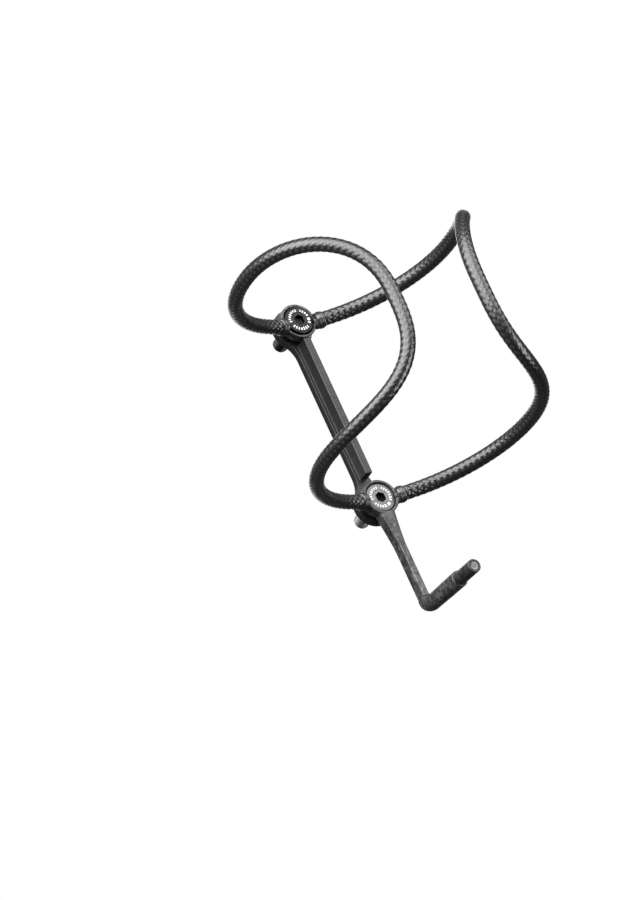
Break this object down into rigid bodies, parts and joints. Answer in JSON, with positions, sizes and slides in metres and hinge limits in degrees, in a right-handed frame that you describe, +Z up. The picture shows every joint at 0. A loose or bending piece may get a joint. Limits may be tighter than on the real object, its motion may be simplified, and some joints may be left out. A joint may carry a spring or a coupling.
{
  "type": "water bottle cage",
  "caption": "Bicycle water bottle cage: braided carbon tube loops round the bottle, a bent tail foot under it and a ribbed rail that bolts to the frame.",
  "frame": {"origin": "centre of the rail's mounting face, half way between the two bolts", "axes": "+Z up along the bottle and the rail, +Y into the bicycle frame, -Y out towards the bottle, +X right as seen from the bottle's side"},
  "size_m": [0.0792, 0.0913, 0.1142],
  "materials": {
    "rail_plastic": "satin black moulded plastic, slightly brighter on its edges",
    "forged_carbon": "moulded chopped carbon fibre, dark grey flakes under a thin satin lacquer",
    "braided_carbon": "braided carbon tube under glossy clear lacquer",
    "binding_resin": "dark wound fibre in glossy resin",
    "pin_carbon": "ground carbon rod, fine satin",
    "plug_resin": "grey cast resin",
    "washer_steel": "bright zinc plate",
    "black_alloy": "black anodised, light scale marks",
    "silver_alloy": "bright turned alloy with dark scale marks"
  },
  "bodies": {
    "spine": {"base_rail": "rail_plastic", "upper_hub": "forged_carbon", "lower_hub_arm": "forged_carbon", "foot_pin": "pin_carbon", "foot_plug": "plug_resin", "upper_left_collar": "binding_resin", "upper_right_collar": "binding_resin", "lower_left_collar": "binding_resin", "lower_right_collar": "binding_resin"},
    "left_wing": {"left_loop": "braided_carbon"},
    "right_wing": {"right_loop": "braided_carbon"},
    "upper_washer": {"upper_washer": "washer_steel"},
    "upper_bolt": {"upper_bolt": "black_alloy"},
    "lower_washer": {"lower_washer": "washer_steel"},
    "lower_bolt": {"lower_bolt": "silver_alloy"}
  },
  "joints": [
    {"name": "left_loop_spring", "type": "hinge", "parent": "spine", "child": "left_wing", "pos_m": [-0.00979, -0.00812, 0], "axis": [0, 0, -1], "range_deg": [-2, 5], "stiffness_Nm_per_rad": 3},
    {"name": "right_loop_spring", "type": "hinge", "parent": "spine", "child": "right_wing", "pos_m": [0.00979, -0.00812, 0], "axis": [0, 0, 1], "range_deg": [-2, 5], "stiffness_Nm_per_rad": 3},
    {"name": "upper_bolt_travel", "type": "slide", "parent": "spine", "child": "upper_washer", "axis": [0, -1, 0], "range_m": [0, 0.0088]},
    {"name": "upper_bolt_turn", "type": "hinge", "parent": "upper_washer", "child": "upper_bolt", "pos_m": [0, 0, 0.032], "axis": [0, -1, 0], "range_deg": [0, 3965]},
    {"name": "lower_bolt_travel", "type": "slide", "parent": "spine", "child": "lower_washer", "axis": [0, -1, 0], "range_m": [0, 0.0088]},
    {"name": "lower_bolt_turn", "type": "hinge", "parent": "lower_washer", "child": "lower_bolt", "pos_m": [0, 0, -0.032], "axis": [0, -1, 0], "range_deg": [0, 3965]}
  ],
  "couplings": [
    {"joint": "upper_bolt_turn", "follows": "upper_bolt_travel", "rad_per_m": 7854},
    {"joint": "lower_bolt_turn", "follows": "lower_bolt_travel", "rad_per_m": 7854}
  ]
}
